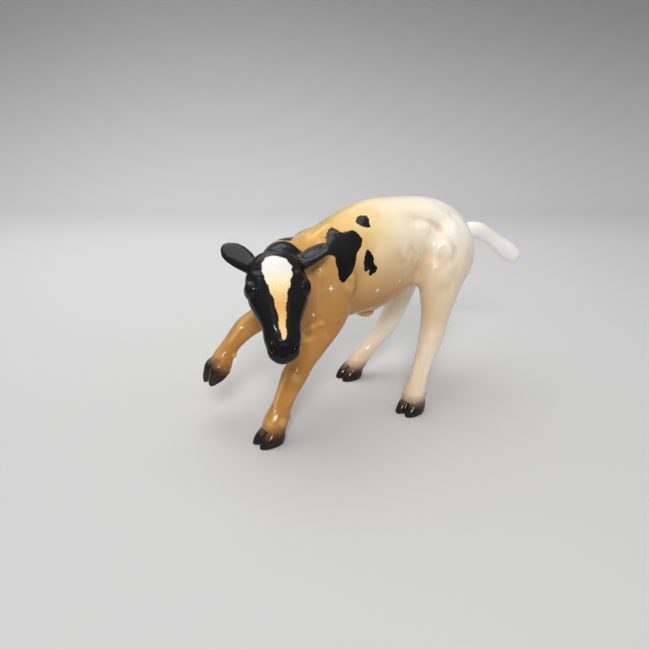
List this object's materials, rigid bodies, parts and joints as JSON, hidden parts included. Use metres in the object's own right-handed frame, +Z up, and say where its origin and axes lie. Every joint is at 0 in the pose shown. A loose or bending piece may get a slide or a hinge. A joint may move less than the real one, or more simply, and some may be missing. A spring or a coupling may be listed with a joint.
{
  "type": "calf figurine",
  "caption": "Small moulded plastic calf in a playful stance, head lowered and turned, a foreleg lifted and the tail thrown out.",
  "frame": {"origin": "on the ground under the middle of the figure's bounding box", "axes": "+Z up, -X the way the trunk faces, +X towards the tail, -Y to the calf's left"},
  "size_m": [0.1574, 0.0682, 0.089],
  "materials": {
    "gold_coat": "satin airbrushed paint over moulded plastic",
    "cream_coat": "satin airbrushed paint over moulded plastic",
    "white_coat": "satin airbrushed paint over moulded plastic",
    "black_coat": "glossy paint over moulded plastic"
  },
  "bodies": {
    "root": {"body_left_shell": "gold_coat", "body_right_shell": "gold_coat", "head_left_shell": "black_coat", "head_right_shell": "black_coat", "ear_left": "black_coat", "ear_right": "black_coat", "foreleg_left": "gold_coat", "foreleg_right": "gold_coat", "hindleg_left": "cream_coat", "hindleg_right": "cream_coat", "tail": "white_coat"}
  },
  "joints": []
}
